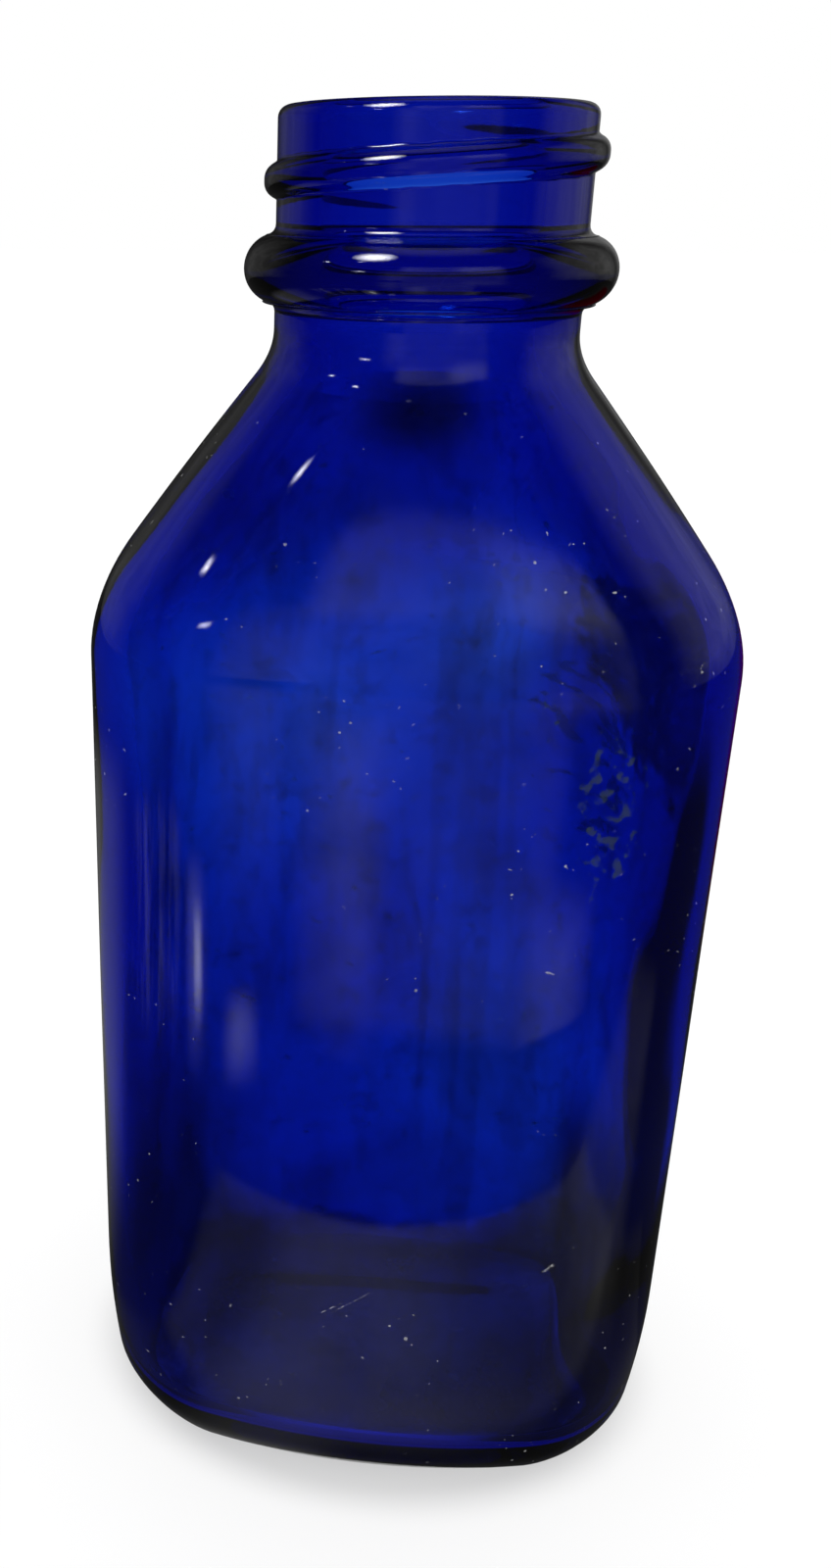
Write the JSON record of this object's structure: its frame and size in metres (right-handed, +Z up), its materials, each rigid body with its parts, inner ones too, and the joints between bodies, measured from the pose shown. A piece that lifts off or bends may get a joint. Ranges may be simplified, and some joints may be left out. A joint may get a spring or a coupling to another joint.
{
  "type": "glass bottle",
  "caption": "Cobalt glass medicine bottle with a bowed rectangular body, sloping shoulders, a beaded round neck and a screw-thread mouth, open on top.",
  "frame": {"origin": "middle of the base, on the surface the bottle stands on", "axes": "+Z up through the mouth; the broad faces look along -Y (front) and +Y; the narrow sides look along +X and -X"},
  "size_m": [0.056, 0.0414, 0.1246],
  "materials": {
    "glass": "fire-polished, smooth, with light wear"
  },
  "bodies": {
    "root": {"glass_bottle": "glass"}
  },
  "joints": []
}
